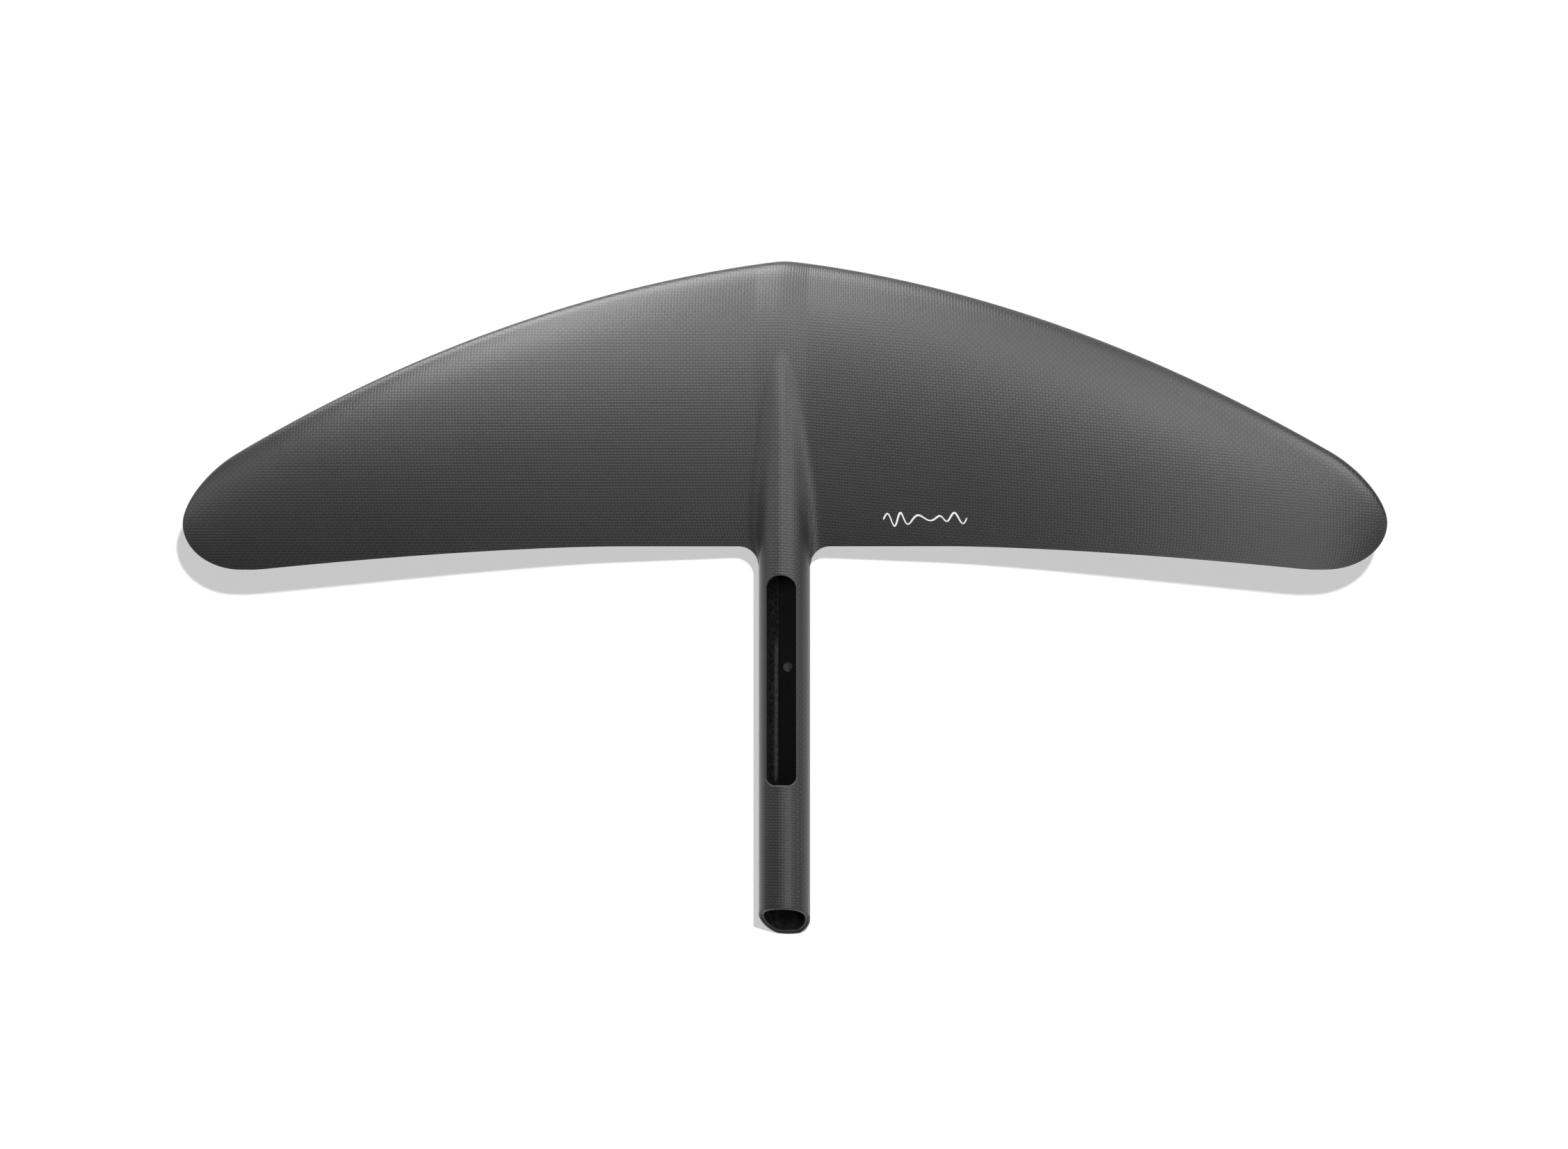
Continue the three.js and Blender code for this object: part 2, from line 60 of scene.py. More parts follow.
# ---------------------------------------------------------------- form, in millimetres
# y counts from the trailing edge on the centre line and z from the parting level, as in the CAD.
SPAN, CHORD = 880.6, 206.3
TIP_CHORD, TIP_ROUND, TIP_HEEL, TIP_CUT, TIP_RUN = 56.3, 40.3, 44.3, 26.4, 56.3
NOSE_RADIUS, TRAIL_SAG, TRAIL_STRAIGHT, DIHEDRAL, TIP_DROOP = 6.0, 16.9, 122.0, 0.1, 26.0
BODY_WIDTH, BODY_RISE, BODY_DROP = 37.0, 18.0, 18.0
TAIL_TOP, TAIL_BOTTOM, TAIL_BOW = -261.6, -281.2, 3.0
SLOT_FRONT, SLOT_REAR, SLOT_WIDTH, SLOT_NOSE, SLOT_CORNER = -21.1, -172.7, 21.9, 9.6, 6.0
SKIN, SLEEVE, SLEEVE_STEP = 1.6, 1.6, 1.0
BOND, EDGE = 0.3, 0.4
CAMBER_TOP, CAMBER_BELLY = 0.0776, 0.0436
LEAD_SLOPE, LEAD_CURVE, TRAIL_POWER = 0.338, 0.662, 1.55   # plan lines of the two edges
BEND_RADIUS, DROOP_POWER = 24, 4     # parting level: soft start beside the fuselage, and droop
CROWN_NOSE, CROWN_FULL, BELLY_NOSE, BELLY_FULL = 3.3, 85.0, 6.3, 118.0
ROOT_FILLET = 15.0
MAST_SCREW_Y, TAIL_SCREW_Y, BUSH_RADIUS, SCREW_RADIUS = -87.0, -232.0, 6.0, 3.2
FAIRING, FAIRING_SHARE = 8.0, 0.7   # fillet between rib and wing, and its share of the step
SEAM = 0.02          # half the closed seam between the fine pieces
MIN_FILLET = 0.3     # fillet left where rib and wing run into each other
REACH, HALVINGS, STEEPEST = 40, 30, 40   # search for the outer surface, and its steepest slope
HALF, BODY_HALF = SPAN / 2, BODY_WIDTH / 2
EDGE_Z = BOND / 2 + EDGE
DRUM_DROP = BODY_DROP * 1.117       # depth of the ellipse that the flat belly cuts off
LIP = 0.7            # edge radius round the slot
END_ROUND = 0.45     # edge radius of the tail end
SHIFT_Y = -(CHORD + TAIL_BOTTOM) / 2
SHIFT_Z = BODY_DROP + EDGE_Z


def clamp(v):
    return np.clip(v, 0.0, 1.0)


def mix(a, b, t):
    return a + (b - a) * t


def tip_sweep(a, start):
    u = clamp((a - start) / (HALF - start))
    return 1 - np.sqrt(1 - u * u)


def lead_y(x):
    u = (np.hypot(x, NOSE_RADIUS) - NOSE_RADIUS) / HALF
    line = mix(CHORD, TIP_CHORD - TRAIL_SAG, LEAD_SLOPE * u + LEAD_CURVE * u * u)
    return line - TIP_CUT * tip_sweep(np.abs(x), HALF - TIP_ROUND)


TIP_Y = float(lead_y(np.array(HALF)))


def trail_y(x):
    a = np.abs(x)
    sag = -TRAIL_SAG * clamp((a - TRAIL_STRAIGHT) / (HALF - TIP_RUN - TRAIL_STRAIGHT)) ** TRAIL_POWER
    return sag + (TIP_Y + TRAIL_SAG) * tip_sweep(a, HALF - TIP_HEEL)


def aft_y(x):
    a = np.abs(x)
    run = np.clip(BODY_HALF + ROOT_FILLET - a, 0, ROOT_FILLET)
    fillet = np.sqrt(ROOT_FILLET ** 2 - run * run) - ROOT_FILLET
    return np.where(a >= BODY_HALF + ROOT_FILLET, trail_y(x), fillet)


def part_z(x):
    a = np.maximum(0, np.hypot(x, BEND_RADIUS) - math.hypot(BODY_HALF, BEND_RADIUS))
    return DIHEDRAL * a - TIP_DROOP * (a / HALF) ** DROOP_POWER


def section(s):
    """Foil section, one at its thickest point and zero at both edges."""
    return 9.98 * (0.2969 * np.sqrt(s) - 0.126 * s - 0.3516 * s * s + 0.2843 * s ** 3
                   - 0.1036 * s ** 4)


def wing_rise(x, y, side):
    chord = np.maximum(0, lead_y(x) - trail_y(x))
    s = clamp((lead_y(x) - y) / np.maximum(chord, 1e-6))
    camber = CAMBER_TOP if side > 0 else CAMBER_BELLY
    return EDGE_Z + chord * camber * np.maximum(0, section(s))


def fairing(y, full, nose):
    return np.sqrt(np.maximum(0.01, 1 - clamp((y - full) / (CHORD - nose - full)) ** 2))


def crown_rise(y):
    return BODY_RISE * fairing(y, CROWN_FULL, CROWN_NOSE)


def belly_ratio(y):
    return fairing(y, BELLY_FULL, BELLY_NOSE)


def body_gap(x, y, rise, side):
    """Roughly the distance from the fuselage's surface at height rise, negative inside it."""
    up, down = crown_rise(y), belly_ratio(y)
    height = up if side > 0 else DRUM_DROP * down
    z = rise - EDGE_Z
    drum = (np.hypot(x / BODY_HALF, z / height) - 1) * np.minimum(BODY_HALF, height)
    return drum if side > 0 else np.maximum(drum, z - BODY_DROP * down)


def outer_rise(x, y, side):
    """Height of the outer surface over the parting level, by bisection of the filleted union."""
    x, y = np.broadcast_arrays(np.asarray(x, float), np.asarray(y, float))
    wing = wing_rise(x, y, side)
    crown = crown_rise(y) if side > 0 else BODY_DROP * belly_ratio(y)
    step = crown + EDGE_Z - wing_rise(0.0, y, side)
    fade = clamp((y + ROOT_FILLET) / ROOT_FILLET)
    full = np.minimum(FAIRING, np.maximum(0, FAIRING_SHARE * step - MIN_FILLET))
    soft = MIN_FILLET + fade * full
    low, high = wing.copy(), wing + REACH
    for _ in range(HALVINGS):
        rise = (low + high) / 2
        a, b = rise - wing, body_gap(x, y, rise, side)
        h = np.maximum(0, soft - np.abs(a - b)) / soft
        inside = np.minimum(a, b) - h * h * soft / 4 < 0
        low, high = np.where(inside, rise, low), np.where(inside, high, rise)
    return np.where(np.abs(x) > BODY_HALF + REACH, wing, low)


def inner_rise(x, y, side):
    """Height of the inner surface: the outer one less the skin, measured square to its slope."""
    d = 0.3
    sx = (outer_rise(x + d, y, side) - outer_rise(x - d, y, side)) / (2 * d)
    sy = (outer_rise(x, y + d, side) - outer_rise(x, y - d, side)) / (2 * d)
    slopes = [np.minimum(STEEPEST, np.abs(v)) ** 2 for v in (sx, sy)]
    sides = np.sqrt(1 + slopes[0] + slopes[1])
    return np.maximum(SEAM, outer_rise(x, y, side) - SKIN * sides)


def tail_y(x, z):
    height = (z + BODY_DROP + EDGE_Z) / (BODY_RISE + BODY_DROP + 2 * EDGE_Z)
    return float(mix(TAIL_BOTTOM, TAIL_TOP, height) + TAIL_BOW * (x / BODY_HALF) ** 2)


def ring_rise(x, inset, side):
    """Height of the fuselage section over its parting level at x, moved in by inset."""
    u = np.clip(np.abs(x) / (BODY_HALF - inset), 0, 1)
    height = (BODY_RISE if side > 0 else DRUM_DROP) - inset
    rise = height * np.sqrt(1 - u * u)
    if side < 0:
        rise = np.minimum(rise, BODY_DROP - inset)
    return rise + EDGE_Z


# ---------------------------------------------------------------- closed walls from sheets
class Sheet:
    """Nodes with an outer and an inner point, and quad cells. At a free edge the wall runs from
    the outer point over two corner points to the inner one, with small rounded edges."""

    def __init__(self):
        self.outer, self.inner, self.c1, self.c2, self.uv = [], [], [], [], []
        self.cells = []

    def node(self, outer, inner, c1=None, c2=None, uv=(0.0, 0.0)):
        self.outer.append(tuple(outer))
        self.inner.append(tuple(inner))
        self.c1.append(tuple(outer if c1 is None else c1))
        self.c2.append(tuple(inner if c2 is None else c2))
        self.uv.append(tuple(uv))
        return len(self.outer) - 1

    def cell(self, *ids):
        self.cells.append(ids)

    def mesh(self, name, flip, radius=0.35):
        n = len(self.outer)
        verts = [np.array(self.outer), np.array(self.inner)]
        edges = {}
        for c in self.cells:
            for a, b in zip(c, c[1:] + c[:1]):
                edges[(a, b)] = True
        free = [(a, b) for a, b in edges if (b, a) not in edges]
        rim_ids = sorted({a for e in free for a in e})
        at = {v: i for i, v in enumerate(rim_ids)}
        p_a, p_b = verts[0][rim_ids], verts[1][rim_ids]
        p_1, p_2 = np.array(self.c1)[rim_ids], np.array(self.c2)[rim_ids]
        gap = np.linalg.norm(p_1 - p_2, axis=1, keepdims=True)
        share = np.minimum(0.45, radius / np.maximum(gap, 1e-6))
        m_1, m_2 = mix(p_1, p_2, share), mix(p_2, p_1, share)
        bend = lambda p, q, r, t: (1 - t) ** 2 * p + 2 * t * (1 - t) * q + t * t * r
        rims = [bend(p_a, p_1, m_1, t) for t in (0.25, 0.5, 0.75, 1.0)]
        rims += [bend(m_2, p_2, p_b, t) for t in (0.0, 0.25, 0.5, 0.75)]
        verts += rims
        m = len(rim_ids)
        faces, kinds = [], []
        for c in self.cells:
            faces.append(tuple(c))
            faces.append(tuple(v + n for v in reversed(c)))
            kinds += [0, 1]
        level = lambda k, v: v if k < 0 else (n + v if k >= len(rims) else 2 * n + k * m + at[v])
        for a, b in free:
            for k in range(-1, len(rims)):
                faces.append((level(k, b), level(k, a), level(k + 1, a), level(k + 1, b)))
                kinds.append(2)
        if flip:
            faces = [tuple(reversed(f)) for f in faces]
        uv = np.array(self.uv)
        uvs = np.vstack([uv, uv] + [uv[rim_ids]] * len(rims))
        return make_mesh(name, np.vstack(verts), faces, kinds, uvs)


def make_mesh(name, verts_mm, faces, kinds=None, uvs=None):
    verts = (np.array(verts_mm, float) + (0, SHIFT_Y, SHIFT_Z)) / 1000
    keys, remap = {}, []
    kept = []
    for v in np.round(verts * 2e6).astype(np.int64).tolist():
        k = tuple(v)
        if k not in keys:
            keys[k] = len(kept)
            kept.append(len(remap))
        remap.append(keys[k])
    out_faces, out_kinds, out_uv = [], [], []
    for i, f in enumerate(faces):
        ids, src = [], []
        for v in f:
            if not ids or (remap[v] != ids[-1]):
                ids.append(remap[v])
                src.append(v)
        if len(ids) > 1 and ids[0] == ids[-1]:
            ids.pop()
            src.pop()
        if len(set(ids)) < 3:
            continue
        out_faces.append(ids)
        out_kinds.append(kinds[i] if kinds is not None else 0)
        out_uv.extend(src)
    mesh = bpy.data.meshes.new(name)
    mesh.from_pydata(verts[kept].tolist(), [], out_faces)
    if uvs is not None:
        layer = mesh.uv_layers.new(name="cloth")
        layer.data.foreach_set("uv", np.array(uvs, np.float32)[out_uv].ravel())
    mesh.polygons.foreach_set("material_index", np.array(out_kinds, np.int32))
    mesh.polygons.foreach_set("use_smooth", np.ones(len(out_faces), bool))
    mesh.update()
    obj = bpy.data.objects.new(name, mesh)
    scene.collection.objects.link(obj)
    return obj


# ---------------------------------------------------------------- fine skins
RING = 64                       # steps over half a fuselage section
ROWS = 84                       # chordwise
FRONT_Y, REAR_Y = -17.5, -177.0  # the stretch of fuselage that is laid out round the slot
SLOT_ROWS = 72
SIDE_STEPS = np.arange(RING + 1) / RING * 2 - 1
OUTBOARD = np.concatenate([
    BODY_HALF + ROOT_FILLET * np.linspace(0, 1, 11)[1:],
    np.linspace(BODY_HALF + ROOT_FILLET, 395, 44)[1:],
    400 + (HALF - 400) * np.sin(np.radians(np.linspace(0, 90, 15)))])
ANGLES = SIDE_STEPS * math.pi / 2


TOWS_ACROSS, TOWS_ALONG = 0.450, 0.485      # per millimetre
LEAN_ACROSS, LEAN_ALONG = 0.040, 0.041      # shear of the cloth on the right half
LEAN_START, LEAN_RUN = 10, 60


def cloth_uv(u, y):
    """Cloth coordinates in tows from arc length across, and y. The right half is sheared."""
    lean = clamp((u - LEAN_START) / LEAN_RUN)
    return (TOWS_ACROSS * u + LEAN_ACROSS * y * lean,
            TOWS_ALONG * y + LEAN_ALONG * np.maximum(u, 0))


def wing_zone(sheet, side):
    """Nodes of the wing and of the fuselage ahead of its last trailing-edge row."""
    ring_x = BODY_HALF * np.sin(ANGLES)
    xs = np.concatenate([-OUTBOARD[::-1], ring_x, OUTBOARD])
    first = len(OUTBOARD)
    s = (np.arange(ROWS + 1) / ROWS) ** 1.5
    grid_x = np.repeat(xs[:, None], ROWS + 1, 1)
    grid_y = mix(lead_y(grid_x), aft_y(np.where(np.abs(grid_x) < BODY_HALF + 1e-9,
                                                 BODY_HALF * np.sign(grid_x + 1e-12), grid_x)), s)
    rise = outer_rise(grid_x, grid_y, side)
    rise[:, 0] = EDGE_Z
    rise[0], rise[-1] = EDGE_Z, EDGE_Z
    inner_x = grid_x.copy()
    central = np.abs(grid_x) <= BODY_HALF + 1e-9
    inner_x[central] *= (BODY_HALF - SKIN) / BODY_HALF
    inner_x[:, 0] = grid_x[:, 0]
    deep = inner_rise(inner_x, grid_y, side)
    deep[:, -1] = np.where(central[:, -1], ring_rise(inner_x[:, -1], SKIN, side), deep[:, -1])
    z_out = part_z(grid_x) + rise
    arc = np.cumsum(np.hypot(np.diff(grid_x, axis=0), np.diff(z_out, axis=0)), axis=0)
    arc = np.vstack([np.zeros((1, ROWS + 1)), arc])
    arc -= arc[first + RING // 2]
    ids = {}
    for i, x in enumerate(xs):
        ring = i - first if first <= i <= first + RING else None
        base = float(part_z(x))
        for j in range(ROWS + 1):
            y = grid_y[i, j]
            free = i in (0, len(xs) - 1) or j == 0 or (j == ROWS and ring in (None, 0, RING))
            outer = (x, y, side * rise[i, j] + base)
            foot = (x, y, side * SEAM + base)
            inner = (inner_x[i, j], y, side * max(SEAM, deep[i, j]) + float(part_z(inner_x[i, j])))
            if j == ROWS and ring in (0, RING):
                inner = (inner_x[i, j], y, side * SEAM)
            elif free:
                inner = foot
            ids[i, j] = sheet.node(outer, inner, outer, foot if free else inner,
                                   cloth_uv(arc[i, j], y))
    for i in range(len(xs) - 1):
        for j in range(ROWS):
            sheet.cell(ids[i, j], ids[i, j + 1], ids[i + 1, j + 1], ids[i + 1, j])
    return [ids[first + k, ROWS] for k in range(RING + 1)]


def tube_point(x, y, side, inset):
    return (x, y, side * float(ring_rise(x, inset, side)))


def section_arc(x):
    return BODY_HALF * np.arcsin(np.clip(x / BODY_HALF, -1, 1))


class Tube:
    """Half of a fuselage wall behind the wing, upper or lower, between two insets."""

    def __init__(self, sheet, side, outset, inset, share=True, step=0.0):
        self.sheet, self.side, self.outset, self.inset = sheet, side, outset, inset
        self.step = step            # how far this wall ends inside the tail end
        self.share = share          # a seam at the sides, or a sleeve that closes on itself
        self.sides = {}

    def at(self, angle, y, end=0.0, key=None):
        """Node on a section line. end > 0 puts it at the slanted tail, set back by end."""
        s, side = self.sheet, self.side
        edge = abs(abs(angle) - math.pi / 2) < 1e-9
        if edge and key is not None and (key, angle > 0) in self.sides:
            return self.sides[key, angle > 0]
        so, si = BODY_HALF - self.outset, BODY_HALF - self.inset
        xo, xi = so * math.sin(angle), si * math.sin(angle)
        zo = side * float(ring_rise(xo, self.outset, side))
        zi = side * float(ring_rise(xi, self.inset, side))
        foot = side * SEAM
        if edge:
            zo, zi = (side * EDGE_Z, foot) if self.share else (0.0, 0.0)
        uv = cloth_uv(float(section_arc(BODY_HALF * math.sin(angle))), y)
        if side < 0:
            uv = cloth_uv(float(-math.copysign(math.pi * BODY_HALF / 2, angle)
                                + section_arc(BODY_HALF * math.sin(angle))), y)
        if end > 0:
            yo, yi = tail_y(xo, zo) + self.step, tail_y(xi, zi) + self.step
            out, inn = (xo, yo + end, zo), (xi, yi + end, zi)
            c1, c2 = (xo, yo, zo), (xi, yi, zi)
            if edge and self.share:
                c2 = (xo, tail_y(xo, foot), foot)
                inn = (xi, tail_y(xi, foot) + end, foot)
        else:
            out, inn = (xo, y, zo), (xi, y, zi)
            c1, c2 = out, ((xo, y, foot) if edge and self.share else inn)
        node = s.node(out, inn, c1, c2, uv)
        if edge and key is not None:
            self.sides[key, angle > 0] = node
        return node

    def strip(self, prev, angles, ys, keys, last_at_tail=False):
        s = self.sheet
        for r, (y, key) in enumerate(zip(ys, keys)):
            tail = last_at_tail and r == len(ys) - 1
            row = [self.at(a, y, END_ROUND if tail else 0.0, key) for a in angles]
            if prev is not None:
                for k in range(len(angles) - 1):
                    s.cell(prev[k], row[k], row[k + 1], prev[k + 1])
            prev = row
        return prev

    def rear(self, prev, angles, start, count, tag):
        """Rows from start to the slanted tail, each section line stretched to its own length."""
        s = self.sheet
        for r in range(1, count + 1):
            t = r / count
            row = []
            for a in angles:
                x = (BODY_HALF - self.outset) * math.sin(a)
                edge = abs(abs(a) - math.pi / 2) < 1e-9
                z = 0.0 if edge else self.side * float(ring_rise(x, self.outset, self.side))
                y = mix(start, tail_y(x, z) + self.step + END_ROUND, t)
                row.append(self.at(a, y, END_ROUND if r == count else 0.0, (tag, r)))
            for k in range(len(angles) - 1):
                s.cell(prev[k], row[k], row[k + 1], prev[k + 1])
            prev = row


def slot_outline():
    """The slot's edge in plan, clockwise from the left end of its front cap, with normals."""
    w = SLOT_WIDTH / 2
    points = []
    for k in range(RING + 1):
        a = math.pi * (1 - k / RING)
        points.append((w * math.cos(a), SLOT_FRONT - SLOT_NOSE + SLOT_NOSE * math.sin(a)))
    for k in range(1, SLOT_ROWS):
        points.append((w, mix(SLOT_FRONT - SLOT_NOSE, SLOT_REAR + SLOT_CORNER, k / SLOT_ROWS)))
    quarter, flat = math.pi * SLOT_CORNER / 2, SLOT_WIDTH - 2 * SLOT_CORNER
    for k in range(RING + 1):
        d = (2 * quarter + flat) * k / RING
        if d < quarter:
            a = -d / SLOT_CORNER
            points.append((w - SLOT_CORNER + SLOT_CORNER * math.cos(a),
                           SLOT_REAR + SLOT_CORNER + SLOT_CORNER * math.sin(a)))
        elif d < quarter + flat:
            points.append((w - SLOT_CORNER - (d - quarter), SLOT_REAR))
        else:
            a = -math.pi / 2 - (d - quarter - flat) / SLOT_CORNER
            points.append((-w + SLOT_CORNER + SLOT_CORNER * math.cos(a),
                           SLOT_REAR + SLOT_CORNER + SLOT_CORNER * math.sin(a)))
    for k in range(1, SLOT_ROWS):
        points.append((-w, mix(SLOT_REAR + SLOT_CORNER, SLOT_FRONT - SLOT_NOSE, k / SLOT_ROWS)))
    p = np.array(points)
    t = np.roll(p, -1, 0) - np.roll(p, 1, 0)
    normal = np.stack([-t[:, 1], t[:, 0]], 1)
    normal /= np.linalg.norm(normal, axis=1, keepdims=True)
    return p, normal


def slot_zone(tube, front_row, keys):
    """Rings of nodes between the slot's rounded edge and the sides. Returns the rear row."""
    s = tube.sheet
    edge, normal = slot_outline()
    total = len(edge)
    rings = 12
    loop = []
    for k in range(RING + 1):
        loop.append((ANGLES[k], FRONT_Y))
    for k in range(1, SLOT_ROWS):
        loop.append((math.pi / 2, mix(FRONT_Y, REAR_Y, k / SLOT_ROWS)))
    for k in range(RING + 1):
        loop.append((-ANGLES[k], REAR_Y))
    for k in range(1, SLOT_ROWS):
        loop.append((-math.pi / 2, mix(REAR_Y, FRONT_Y, k / SLOT_ROWS)))
    rear_row = [None] * (RING + 1)
    outer_ids = []
    for i, (a, y) in enumerate(loop):
        if i <= RING:
            outer_ids.append(front_row[i])
        elif i < RING + SLOT_ROWS:
            outer_ids.append(tube.at(a, y, 0.0, (keys, i - RING)))
        elif i <= 2 * RING + SLOT_ROWS:
            node = tube.at(a, y, 0.0, (keys, SLOT_ROWS))
            rear_row[RING - (i - RING - SLOT_ROWS)] = node
            outer_ids.append(node)
        else:
            outer_ids.append(tube.at(a, y, 0.0, (keys, total - i)))
    so, si = BODY_HALF - tube.outset, BODY_HALF - tube.inset
    previous = outer_ids
    for r in range(rings - 1, -1, -1):
        t = (r / rings) ** 1.35
        row = []
        for i in range(total):
            grown = edge[i] + LIP * normal[i]
            a0 = math.asin(max(-1, min(1, grown[0] / so)))
            a = mix(a0, loop[i][0], t)
            y = mix(grown[1], loop[i][1], t)
            xo = so * math.sin(a)
            xi = mix(xo, xo * si / so, t)
            outer, inner = tube_point(xo, y, 1, tube.outset), tube_point(xi, y, 1, tube.inset)
            c1 = c2 = None
            if r == 0:
                c1 = tube_point(edge[i][0], edge[i][1], 1, tube.outset)
                c2 = tube_point(edge[i][0], edge[i][1], 1, tube.inset)
            row.append(s.node(outer, inner, c1, c2, cloth_uv(float(section_arc(xo)), y)))
        for i in range(total):
            n = (i + 1) % total
            s.cell(previous[i], row[i], row[n], previous[n])
        previous = row
    return rear_row


REAR_ROWS = 26


def upper_shell():
    sheet = Sheet()
    last = wing_zone(sheet, 1)
    tube = Tube(sheet, 1, 0.0, SKIN)
    row = tube.strip(last, ANGLES, [FRONT_Y], ["front"])
    rear = slot_zone(tube, row, "zone")
    tube.rear(rear, ANGLES, REAR_Y, REAR_ROWS, "tail")
    return sheet.mesh("upper_shell", False, 0.45)


def lower_shell():
    sheet = Sheet()
    last = wing_zone(sheet, -1)
    tube = Tube(sheet, -1, 0.0, SKIN)
    row = tube.strip(last, ANGLES, [FRONT_Y], ["front"])
    ys = [mix(FRONT_Y, REAR_Y, k / 24) for k in range(1, 25)]
    row = tube.strip(row, ANGLES, ys, [("zone", k) for k in range(1, 25)])
    tube.rear(row, ANGLES, REAR_Y, REAR_ROWS, "tail")
    return sheet.mesh("lower_shell", True, 0.45)


def sleeve_shell():
    """The duct's own laminate: a full ring, so its upper and lower halves share side nodes."""
    sheet = Sheet()
    out, inn = SKIN + 0.04, SKIN + BOND + SLEEVE
    top = Tube(sheet, 1, out, inn, share=False, step=SLEEVE_STEP)
    start = -ROOT_FILLET - BOND
    first = top.strip(None, ANGLES, [start], [("start", 0)])
    front = top.strip(first, ANGLES, [FRONT_Y], [("zone", 0)])
    rear = slot_zone(top, front, "zone")
    top.rear(rear, ANGLES, REAR_Y, REAR_ROWS, "tail")
    low = Tube(sheet, -1, out, inn, share=False, step=SLEEVE_STEP)
    low.sides = top.sides
    back = ANGLES[::-1]
    row = low.strip(None, back, [start], [("start", 0)])
    ys = [mix(FRONT_Y, REAR_Y, k / SLOT_ROWS) for k in range(SLOT_ROWS + 1)]
    row = low.strip(row, back, ys, [("zone", k) for k in range(SLOT_ROWS + 1)])
    low.rear(row, back, REAR_Y, REAR_ROWS, "tail")
    return sheet.mesh("duct_lining", False, 0.3)


def drilled(obj, radius):
    """Cuts the two screw holes through the flat belly."""
    bm = bmesh.new()
    for y in (MAST_SCREW_Y, TAIL_SCREW_Y):
        at = Matrix.Translation((0, (y + SHIFT_Y) / 1000, 0.0))
        bmesh.ops.create_cone(bm, cap_ends=True, segments=64, radius1=radius / 1000,
                              radius2=radius / 1000, depth=0.012, matrix=at)
    mesh = bpy.data.meshes.new("drill")
    bm.to_mesh(mesh)
    bm.free()
    tool = bpy.data.objects.new("drill", mesh)
    scene.collection.objects.link(tool)
    cutter = obj.modifiers.new("holes", "BOOLEAN")
    cutter.operation, cutter.solver, cutter.object = "DIFFERENCE", "EXACT", tool
    graph = bpy.context.evaluated_depsgraph_get()
    done = bpy.data.meshes.new_from_object(obj.evaluated_get(graph))
    obj.modifiers.clear()
    old = obj.data
    obj.data = done
    done.name = old.name
    bpy.data.objects.remove(tool)
    bpy.data.meshes.remove(mesh)
    bpy.data.meshes.remove(old)
    return obj


def lathe(name, profile, y, steps=72):
    """A ring turned about the vertical axis at (0, y) from a closed profile of (radius, z)."""
    n = len(profile)
    verts = [(r * math.cos(2 * math.pi * k / steps), y + r * math.sin(2 * math.pi * k / steps), z)
             for k in range(steps) for r, z in profile]
    faces = [(k * n + i, ((k + 1) % steps) * n + i, ((k + 1) % steps) * n + (i + 1) % n,
              k * n + (i + 1) % n) for k in range(steps) for i in range(n)]
    return make_mesh(name, verts, faces)


def finish_mesh(obj, materials, angle=38):
    for material in materials:
        obj.data.materials.append(material)
    obj.data.set_sharp_from_angle(angle=math.radians(angle))
    return obj


# ---------------------------------------------------------------- materials
class Shader:
    """A Principled material with short calls for the nodes that feed it."""

    def __init__(self, name, **values):
        self.material = bpy.data.materials.new(name)
        self.material.use_nodes = True
        self.tree = self.material.node_tree
        self.body = self.tree.nodes["Principled BSDF"]
        for key, value in values.items():
            self.set(key.replace("_", " "), value)

    def set(self, socket, value):
        target = self.body.inputs[socket]
        if hasattr(value, "is_output"):
            self.tree.links.new(value, target)
        else:
            target.default_value = value

    def node(self, kind, **settings):
        node = self.tree.nodes.new(kind)
        for key, value in settings.items():
            setattr(node, key, value)
        return node

    def feed(self, node, *values):
        for i, value in enumerate(values):
            if value is None:
                continue
            if hasattr(value, "is_output"):
                self.tree.links.new(value, node.inputs[i])
            else:
                node.inputs[i].default_value = value
        return node

    def math(self, op, a, b=None, c=None, clamped=False):
        node = self.node("ShaderNodeMath", operation=op, use_clamp=clamped)
        return self.feed(node, a, b, c).outputs[0]

    def ramp(self, value, low, high, out_low=0.0, out_high=1.0, smooth=False):
        node = self.node("ShaderNodeMapRange",
                         interpolation_type="SMOOTHSTEP" if smooth else "LINEAR")
        return self.feed(node, value, low, high, out_low, out_high).outputs[0]

    def blend(self, factor, a, b):
        node = self.node("ShaderNodeMix", data_type="RGBA")
        for socket, value in ((node.inputs[0], factor), (node.inputs[6], a), (node.inputs[7], b)):
            if hasattr(value, "is_output"):
                self.tree.links.new(value, socket)
            else:
                socket.default_value = value
        return node.outputs[2]

    def noise(self, vector, scale, detail=2.0, rough=0.5):
        node = self.node("ShaderNodeTexNoise")
        self.tree.links.new(vector, node.inputs["Vector"])
        node.inputs["Scale"].default_value = scale
        node.inputs["Detail"].default_value = detail
        node.inputs["Roughness"].default_value = rough
        return node.outputs["Fac"]

    def stretch(self, vector, x, y, z):
        node = self.node("ShaderNodeVectorMath", operation="MULTIPLY")
        self.tree.links.new(vector, node.inputs[0])
        node.inputs[1].default_value = (x, y, z)
        return node.outputs[0]

    def bump(self, height, strength, distance, below=None):
        node = self.node("ShaderNodeBump")
        node.inputs["Strength"].default_value = strength
        node.inputs["Distance"].default_value = distance
        self.tree.links.new(height, node.inputs["Height"])
        if below is not None:
            self.tree.links.new(below, node.inputs["Normal"])
        return node.outputs["Normal"]

    def place(self):
        return self.node("ShaderNodeTexCoord").outputs["Object"]


def grey(v, warm=0.0):
    return (v * (1 + warm), v, v * (1 + 0.06 - warm), 1.0)


